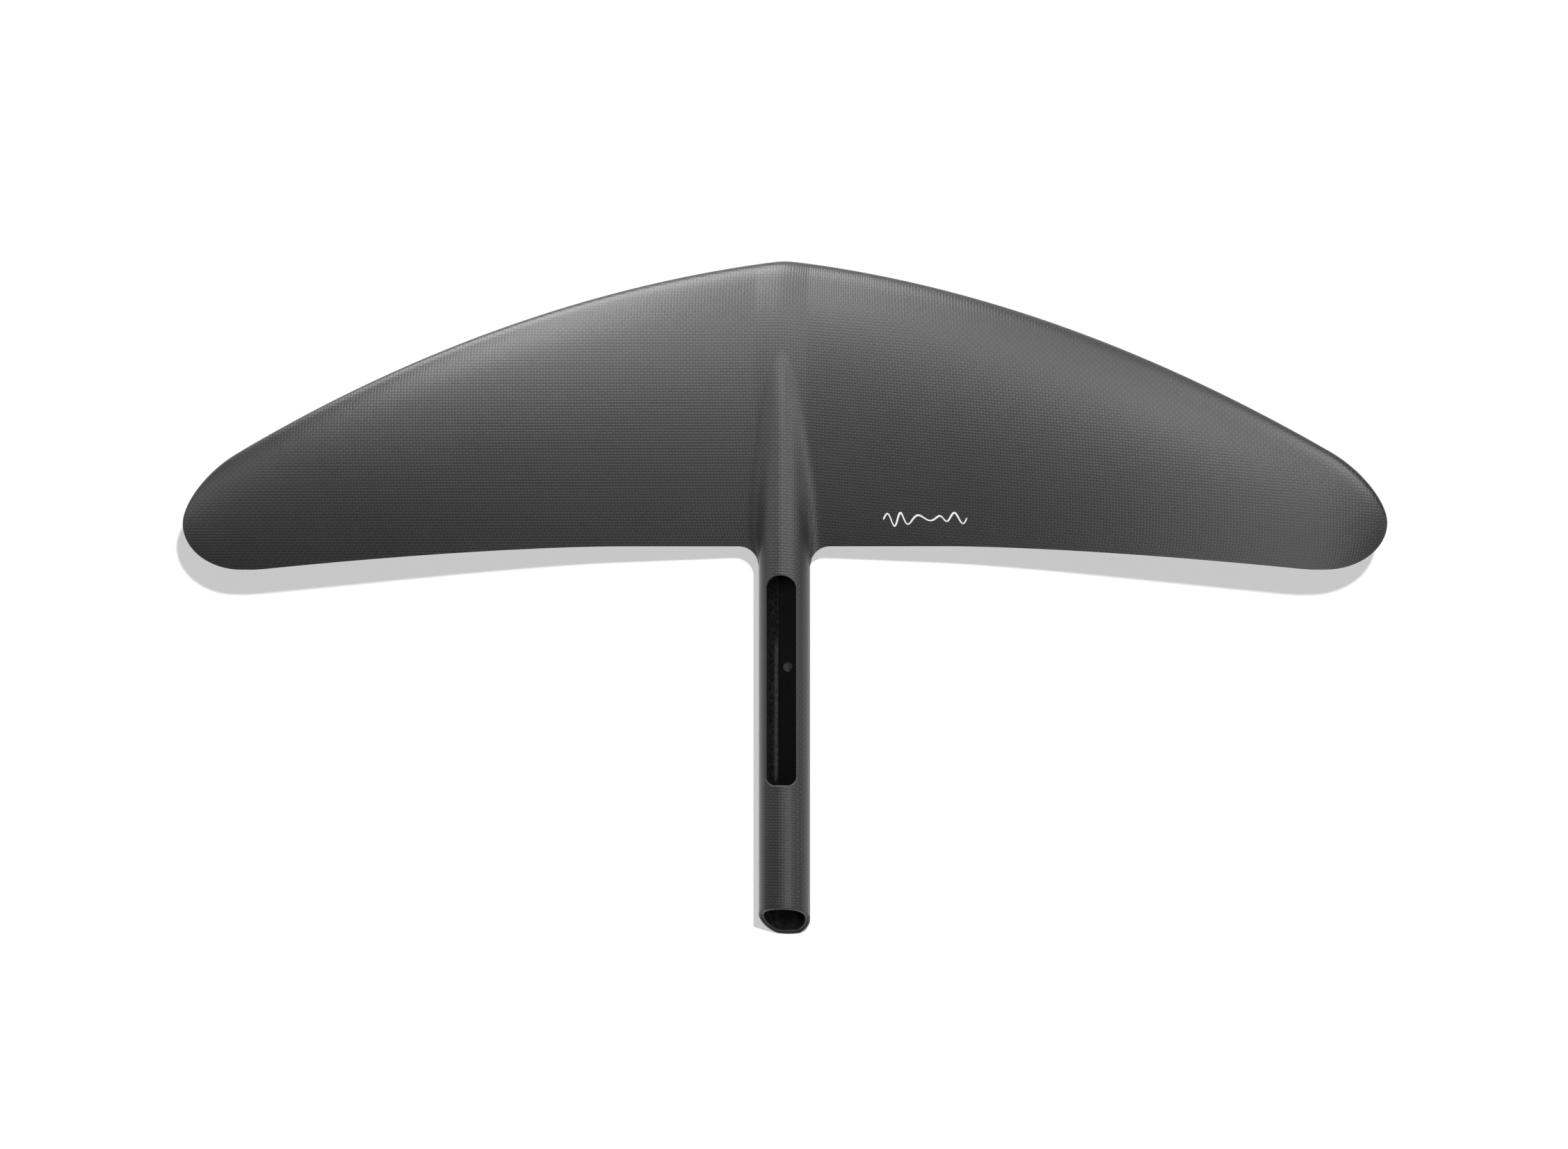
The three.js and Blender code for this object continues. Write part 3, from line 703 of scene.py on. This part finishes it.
def weave(shader, u, v, crown=0.55):
    """Plain weave from tow counts u and v: height of the cloth and which family lies on top."""
    su = shader.math("SINE", shader.math("MULTIPLY", u, math.pi))
    sv = shader.math("SINE", shader.math("MULTIPLY", v, math.pi))
    both = shader.math("MULTIPLY", shader.math("MULTIPLY", su, sv), crown)
    warp = shader.math("POWER", shader.math("ABSOLUTE", su), 0.5)
    weft = shader.math("POWER", shader.math("ABSOLUTE", sv), 0.5)
    warp = shader.math("ADD", warp, both)
    weft = shader.math("SUBTRACT", weft, both)
    height = shader.math("MAXIMUM", warp, weft)
    on_top = shader.ramp(shader.math("SUBTRACT", warp, weft), -0.14, 0.14)
    return height, on_top


def carbon_cloth(name, dark, light, roughness, coat, depth, streak=0.5):
    s = Shader(name, IOR=1.5, Coat_Weight=coat, Coat_Roughness=0.28, Coat_IOR=1.5)
    uv = s.node("ShaderNodeUVMap", uv_map="cloth").outputs[0]
    split = s.feed(s.node("ShaderNodeSeparateXYZ"), uv)
    u, v = split.outputs[0], split.outputs[1]
    height, on_top = weave(s, u, v)
    along_v = s.noise(s.stretch(uv, 22.0, 1.1, 1.0), 1.0, 3.0, 0.6)
    along_u = s.noise(s.stretch(uv, 1.1, 22.0, 1.0), 1.0, 3.0, 0.6)
    fibre = s.math("ADD", s.math("MULTIPLY", along_v, on_top),
                   s.math("MULTIPLY", along_u, s.math("SUBTRACT", 1.0, on_top)))
    spot = s.place()
    cloud = s.noise(spot, 11.0, 3.0, 0.55)
    fine = s.noise(spot, 900.0, 2.0, 0.6)
    grain = s.noise(spot, 1900.0, 2.0, 0.7)
    # The family on top gets a lighter tone: painted sheen for the different reflection of the two
    # tow directions. The fibre streaks and clouds are the cloth's own tone.
    tone = s.math("ADD", s.math("MULTIPLY", s.math("SUBTRACT", fibre, 0.5), streak),
                  s.math("MULTIPLY", on_top, 0.62))
    tone = s.math("ADD", tone, s.math("MULTIPLY", s.math("SUBTRACT", cloud, 0.5), 0.5),
                  clamped=True)
    gaps = s.ramp(height, 0.55, 0.95, 0.0, 1.0)
    colour = s.blend(tone, dark, light)
    colour = s.blend(gaps, grey(dark[1] * 0.4), colour)
    speck = s.ramp(grain, 0.3, 0.7, 0.0, 1.0)
    s.set("Base Color", s.blend(s.math("MULTIPLY", speck, 0.34), colour, grey(light[1] * 1.9)))
    rough = s.math("ADD", roughness - 0.04, s.math("MULTIPLY", cloud, 0.08))
    rough = s.math("ADD", rough, s.math("MULTIPLY", s.math("SUBTRACT", fine, 0.5), 0.08))
    rough = s.math("ADD", rough, s.math("MULTIPLY", on_top, -0.03))
    s.set("Roughness", rough)
    peel = s.bump(s.noise(spot, 160.0, 2.0), 0.12, 0.0004)
    peel = s.bump(grain, 0.3, 0.00008, peel)
    s.set("Normal", s.bump(height, 0.75, depth, peel))
    return s.material


def cut_laminate(name, tone, roughness):
    """Edge of the laminate where it was trimmed: thin plies, slightly rough."""
    s = Shader(name, IOR=1.5)
    spot = s.place()
    split = s.feed(s.node("ShaderNodeSeparateXYZ"), spot)
    wander = s.math("MULTIPLY", s.noise(spot, 60.0, 2.0), 0.0004)
    ply = s.math("SINE", s.math("MULTIPLY", s.math("ADD", split.outputs[2], wander), 26000.0))
    rag = s.noise(spot, 1500.0, 3.0, 0.65)
    mixed = s.math("ADD", s.math("MULTIPLY", ply, 0.22), rag, clamped=True)
    s.set("Base Color", s.blend(mixed, grey(tone * 0.55), grey(tone * 1.5)))
    s.set("Roughness", s.ramp(rag, 0.2, 0.8, roughness - 0.1, roughness + 0.12))
    s.set("Normal", s.bump(rag, 0.35, 0.00012))
    return s.material


def duct_laminate(name):
    """Moulded inside of the duct with a faint print of the cloth. Its floor is painted almost black
    as painted shade;
    the left wall and the tail opening are painted lighter and mottled as painted light, and a pale
    line where that wall meets the floor is a painted highlight."""
    s = Shader(name, IOR=1.35, Specular_IOR_Level=0.12)
    uv = s.node("ShaderNodeUVMap", uv_map="cloth").outputs[0]
    split = s.feed(s.node("ShaderNodeSeparateXYZ"), uv)
    height, on_top = weave(s, split.outputs[0], split.outputs[1])
    spot = s.place()
    place = s.feed(s.node("ShaderNodeSeparateXYZ"), spot)
    cloud = s.noise(spot, 35.0, 3.0)
    mottle = s.noise(spot, 420.0, 4.0, 0.65)
    across, along = place.outputs[0], place.outputs[1]
    # Mask of the left wall, which is painted lighter as painted light on the wall the camera sees.
    wall = s.ramp(across, -0.0074, -0.0066, 1.0, 0.0)
    # A pale line along the foot of the left wall, under the slot: a painted highlight for the shine
    # of that curved wall.
    wander = s.math("MULTIPLY", s.math("SUBTRACT", cloud, 0.5), 0.0012)
    off = s.math("ABSOLUTE", s.math("ADD", s.math("ADD", across, 0.0084), wander))
    line = s.ramp(off, 0.0004, 0.0017, 1.0, 0.0, smooth=True)
    line = s.math("MULTIPLY", line, s.ramp(along, -0.036, -0.029, 1.0, 0.0))
    line = s.math("MULTIPLY", line, s.ramp(along, -0.134, -0.128, 0.0, 1.0))
    # Lighter towards the open tail end: painted light where light comes into the duct.
    painted_opening_light = s.ramp(along, -0.238, -0.214, 1.0, 0.0)
    line = s.math("MULTIPLY", line, s.ramp(mottle, 0.3, 0.7, 0.45, 1.0))
    # The floor is painted almost black as painted shade, with the family on top a little lighter as
    # painted sheen.
    base = s.blend(s.math("MULTIPLY", on_top, cloud), grey(0.0012), grey(0.0034))
    # Colour of the left wall and the tail opening: mottled, and lighter as painted light.
    side = s.blend(s.ramp(mottle, 0.35, 0.7), grey(0.006), grey(0.03))
    laminate = s.blend(s.math("MAXIMUM", wall, painted_opening_light), base, side)
    s.set("Base Color", s.blend(line, laminate, grey(0.085)))
    s.set("Roughness", s.ramp(cloud, 0.25, 0.75, 0.34, 0.5))
    s.set("Normal", s.bump(height, 0.2, 0.00006, s.bump(cloud, 0.2, 0.0008)))
    return s.material


def plain(name, dark, light, scale, rough_low, rough_high, bump=0.2, distance=0.0002, **values):
    s = Shader(name, **values)
    spot = s.place()
    cloud = s.noise(spot, scale, 4.0, 0.6)
    s.set("Base Color", s.blend(s.ramp(cloud, 0.3, 0.7), dark, light))
    s.set("Roughness", s.ramp(cloud, 0.25, 0.75, rough_low, rough_high))
    s.set("Normal", s.bump(s.noise(spot, scale * 6, 2.0), bump, distance))
    return s.material


def turned_steel(name):
    """Dull steel of a bush with fine brushing."""
    s = Shader(name, Metallic=1.0)
    spot = s.place()
    brush = s.noise(s.stretch(spot, 4000.0, 4000.0, 900.0), 1.0, 2.0, 0.7)
    cloud = s.noise(spot, 300.0, 3.0)
    s.set("Base Color", s.blend(cloud, (0.16, 0.162, 0.165, 1), (0.3, 0.302, 0.306, 1)))
    s.set("Roughness", s.ramp(brush, 0.2, 0.8, 0.22, 0.42))
    s.set("Normal", s.bump(brush, 0.12, 0.00005))
    return s.material


carbon = carbon_cloth("carbon_cloth", grey(0.008), grey(0.021), 0.37, 0.12, 0.00013)
edge = cut_laminate("cut_laminate", 0.024, 0.45)
raw = plain("raw_laminate", grey(0.012), grey(0.022), 90.0, 0.4, 0.6, IOR=1.5)
duct = duct_laminate("duct_laminate")
foam = plain("core_foam", (0.6, 0.54, 0.38, 1), (0.74, 0.68, 0.5, 1), 500.0, 0.85, 0.95)
resin = plain("filled_resin", (0.11, 0.1, 0.09, 1), (0.17, 0.16, 0.14, 1), 240.0, 0.5, 0.7)
spar = plain("spar_laminate", grey(0.02), grey(0.035), 180.0, 0.4, 0.6)
steel = turned_steel("turned_steel")
paint = plain("mark_paint", (0.5, 0.5, 0.49, 1), (0.62, 0.62, 0.61, 1), 400.0, 0.45, 0.6,
              bump=0.1, distance=0.00005)

# ---------------------------------------------------------------- pieces
upper = finish_mesh(upper_shell(), [carbon, raw, edge])
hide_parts("wing_upper_skin", "fuselage_top")

lower = drilled(finish_mesh(lower_shell(), [carbon, raw, edge]), BUSH_RADIUS + 0.15)
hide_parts("wing_lower_skin", "fuselage_bottom")

lining = drilled(finish_mesh(sleeve_shell(), [raw, duct, edge]), SCREW_RADIUS + 0.3)
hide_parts("duct_sleeve")

pieces = [upper, lower, lining]
SINK, BEVEL = 1.2, 0.2       # countersink depth of the bushes, and their edge bevel
low_z = -BODY_DROP - EDGE_Z
for name, y in (("mast", MAST_SCREW_Y), ("tail", TAIL_SCREW_Y)):
    r, sink, b = SCREW_RADIUS, SINK, BEVEL
    profile = [(r, low_z + SKIN - b), (r, low_z + sink), (r + sink, low_z + 0.02),
               (BUSH_RADIUS - b, low_z), (BUSH_RADIUS, low_z + b),
               (BUSH_RADIUS, low_z + SKIN - b), (BUSH_RADIUS - b, low_z + SKIN),
               (r + b, low_z + SKIN)]
    ring = finish_mesh(lathe(f"{name}_bush_ring", profile, y), [steel], 30)
    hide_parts(f"{name}_screw_bush")
    pieces.append(ring)


MARK_X, MARK_Y, MARK_LENGTH, MARK_STROKE = 104.0, 20.0, 62.0, 1.4
MARK_FILM, MARK_ROOT = 0.06, 0.10     # paint above the cloth, and how deep it sits in it


def mark_stroke():
    """Generic wave stroke painted on the right half, thin and uneven as if drawn by hand."""
    count, across = 220, 4
    t = np.linspace(0, 1, count + 1)
    x = MARK_X + MARK_LENGTH * (t - 0.5) + 1.1 * np.sin(4 * math.pi * t + 0.6)
    swell = 3.1 + 1.7 * np.sin(2.2 * math.pi * t + 0.5)
    y = MARK_Y + 1.6 * (t - 0.5) + swell * np.sin(10 * math.pi * t + 0.9 * np.sin(2 * math.pi * t))
    dx, dy = np.gradient(x), np.gradient(y)
    norm = np.hypot(dx, dy)
    end = np.minimum(t, 1 - t) * MARK_LENGTH
    near = 1 - np.clip(end / (MARK_STROKE / 2), 0, 1)
    half = MARK_STROKE / 2 * np.sqrt(np.clip(1 - near ** 2, 0.02, 1))
    half = half * (0.82 + 0.18 * np.cos(9 * math.pi * t + 0.8))
    top, faces = [], []
    for k in range(across + 1):
        w = (2 * k / across - 1) * half
        px, py = x - dy / norm * w, y + dx / norm * w
        rise = outer_rise(px, py, 1) + part_z(px)
        top.append(np.stack([px, py, rise], 1))
    n = count + 1
    upper_side = np.concatenate([p + (0, 0, MARK_FILM) for p in top])
    under_side = np.concatenate([p - (0, 0, MARK_ROOT) for p in top])
    m = len(upper_side)
    for k in range(across):
        for i in range(count):
            a, b = k * n + i, k * n + i + 1
            faces += [(a, b, b + n, a + n), (m + a, m + a + n, m + b + n, m + b)]
    for i in range(count):
        faces += [(i + 1, i, m + i, m + i + 1),
                  (across * n + i, across * n + i + 1, m + across * n + i + 1, m + across * n + i)]
    for k in range(across):
        a, b = k * n, (k + 1) * n
        faces += [(a, b, m + b, m + a), (b + count, a + count, m + a + count, m + b + count)]
    return make_mesh("wave_mark", np.concatenate([upper_side, under_side]), faces)


mark = finish_mesh(mark_stroke(), [paint])
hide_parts("size_mark")
pieces.append(mark)

for piece in pieces:
    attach(piece, "root")

inner_looks = {"duct_bulkhead": duct, "spar_cap_upper": spar, "spar_cap_lower": spar,
               "spar_web": spar, "nose_plug": resin, "nose_block": foam}
for side in ("left", "right"):
    inner_looks.update({f"root_rib_{side}": spar, f"front_core_{side}": foam,
                        f"rear_core_{side}": foam, f"nose_strip_{side}": resin,
                        f"rear_strip_{side}": resin, f"tip_block_{side}": resin})
for node, material in inner_looks.items():
    mesh = frame["nodes"][node].data
    mesh.materials.clear()
    mesh.materials.append(material)

# ---------------------------------------------------------------- floor, light and camera
FLOOR_SIZE, FLOOR_Z, SHADE_Z, SHADE_RADIUS = 9.0, -0.0003, -0.0002, 0.0085
WORLD_LIGHT = 0.04
bpy.ops.mesh.primitive_plane_add(size=FLOOR_SIZE, location=(0, 0, FLOOR_Z))
floor = bpy.context.object
floor.name = "floor"
floor_shader = Shader("floor_white", Roughness=0.9)
floor_shader.set("Base Color", (0.9, 0.9, 0.9, 1))
floor.data.materials.append(floor_shader.material)

# A dark disc on the floor under each screw hole: painted shade for the dark under the resting
# fuselage, so that no white floor shines through it.
shade_shader = Shader("hole_shade", Roughness=0.8)
shade_shader.set("Base Color", (0.012, 0.012, 0.0125, 1))
for name, y in (("mast", MAST_SCREW_Y), ("tail", TAIL_SCREW_Y)):
    bpy.ops.mesh.primitive_circle_add(vertices=48, radius=SHADE_RADIUS, fill_type="NGON",
                                      location=(0, (y + SHIFT_Y) / 1000, SHADE_Z))
    shade = bpy.context.object
    shade.name = f"{name}_hole_shade"
    shade.data.materials.append(shade_shader.material)

world = bpy.data.worlds.new("studio")
scene.world = world
world.use_nodes = True
sky = world.node_tree.nodes["Background"]
sky.inputs[0].default_value = (1.0, 1.0, 1.0, 1)
sky.inputs[1].default_value = WORLD_LIGHT


def light_group(name, objects):
    """A collection that a light is limited to."""
    group = bpy.data.collections.new(name)
    for obj in objects:
        group.objects.link(obj)
    return group


floor_only = light_group("floor_only", [obj for obj in scene.objects
                                        if obj is floor or obj.name.endswith("_hole_shade")])
wing_only = light_group("wing_only", [obj for obj in scene.objects if obj.type == "MESH"
                                      and obj.name not in floor_only.objects])


def aim(obj, target):
    obj.rotation_euler = (Vector(target) - obj.location).to_track_quat("-Z", "Y").to_euler()


def add_light(name, kind, at, target, energy, receivers):
    data = bpy.data.lights.new(name, kind)
    data.energy = energy
    light = bpy.data.objects.new(name, data)
    light.location = at
    light.light_linking.receiver_collection = receivers
    scene.collection.objects.link(light)
    aim(light, target)
    return light


def softbox(name, at, target, size, power):
    light = add_light(name, "AREA", at, target, power, wing_only)
    light.data.shape, light.data.size, light.data.size_y = "RECTANGLE", size, size
    light.visible_camera = False
    return light


# Far softboxes: angle off the vertical to the right and to the front, in degrees, and power.
FAR_LIGHTS = ((-68, 76, 6.6), (-22, 60, 6.3), (-45, 76, 5.7), (45, 36, 5.3), (0, 12, 4.1),
              (22, 36, 2.4), (-45, 12, 1.3), (45, 60, 1.5), (68, -12, 1.3), (0, 36, 0.8),
              (-68, 36, 0.7), (-68, 12, 0.7), (-22, 12, 0.3))
FAR_DISTANCE, FAR_SIZE = 1.3, 0.5
for i, (right_lean, front_lean, power) in enumerate(FAR_LIGHTS):
    toward = Vector((math.tan(math.radians(right_lean)), math.tan(math.radians(front_lean)), 1))
    softbox(f"far_box_{i}", toward.normalized() * FAR_DISTANCE, (0, 0, 0), FAR_SIZE, power)

# A low strip ahead of the wing that lights the turn of its leading edge.
front_strip = softbox("front_strip", (0, 1.5, 0.13), (0, 0.12, 0.02), 0.3, 4.0)
front_strip.data.size = 2.4

# Near softboxes over each half: place, aim and power.
NEAR_LIGHTS = (((-0.30, 0.50, 0.60), (-0.22, 0.05, 0), 3.3),
               ((0.35, 0.10, 0.60), (0.25, 0, 0), 0.8),
               ((0.30, -0.30, 0.60), (0.22, -0.03, 0), 0.9),
               ((0.65, 0.10, 0.60), (0.25, 0, 0), 0.4))
NEAR_SIZE = 0.35
for i, (at, target, power) in enumerate(NEAR_LIGHTS):
    softbox(f"near_box_{i}", at, target, NEAR_SIZE, power)


floor_fill = add_light("floor_fill", "SUN", (0, 0, 2), (0, 0, 0), 1.88, floor_only)
floor_fill.data.use_shadow = False
drop_light = add_light("drop_light", "SUN", (0.33, 0.42, 1.0), (0, 0, 0), 1.98, floor_only)
drop_light.data.angle = math.radians(3)

FRAME_MM_PER_PIXEL = 0.5034
IMAGE_WIDTH = 2255
ROLL = math.radians(9)
DISTANCE = 7.9
TARGET, SIDE_STEP = (0, 0.0171, 0.0186), 0.0003
camera_data = bpy.data.cameras.new("camera")
camera_data.sensor_width = 36.0
camera_data.lens = 36.0 * DISTANCE / (FRAME_MM_PER_PIXEL * IMAGE_WIDTH / 1000)
camera_data.clip_end = 60.0
camera = bpy.data.objects.new("camera", camera_data)
scene.collection.objects.link(camera)
scene.camera = camera
back = Vector((math.sin(ROLL), 0, math.cos(ROLL)))
up = Vector((0, 1, 0))
right = up.cross(back)
target = Vector(TARGET) - right * SIDE_STEP
turn = Matrix((right, up, back)).transposed().to_4x4()
camera.matrix_world = Matrix.Translation(target + back * DISTANCE) @ turn
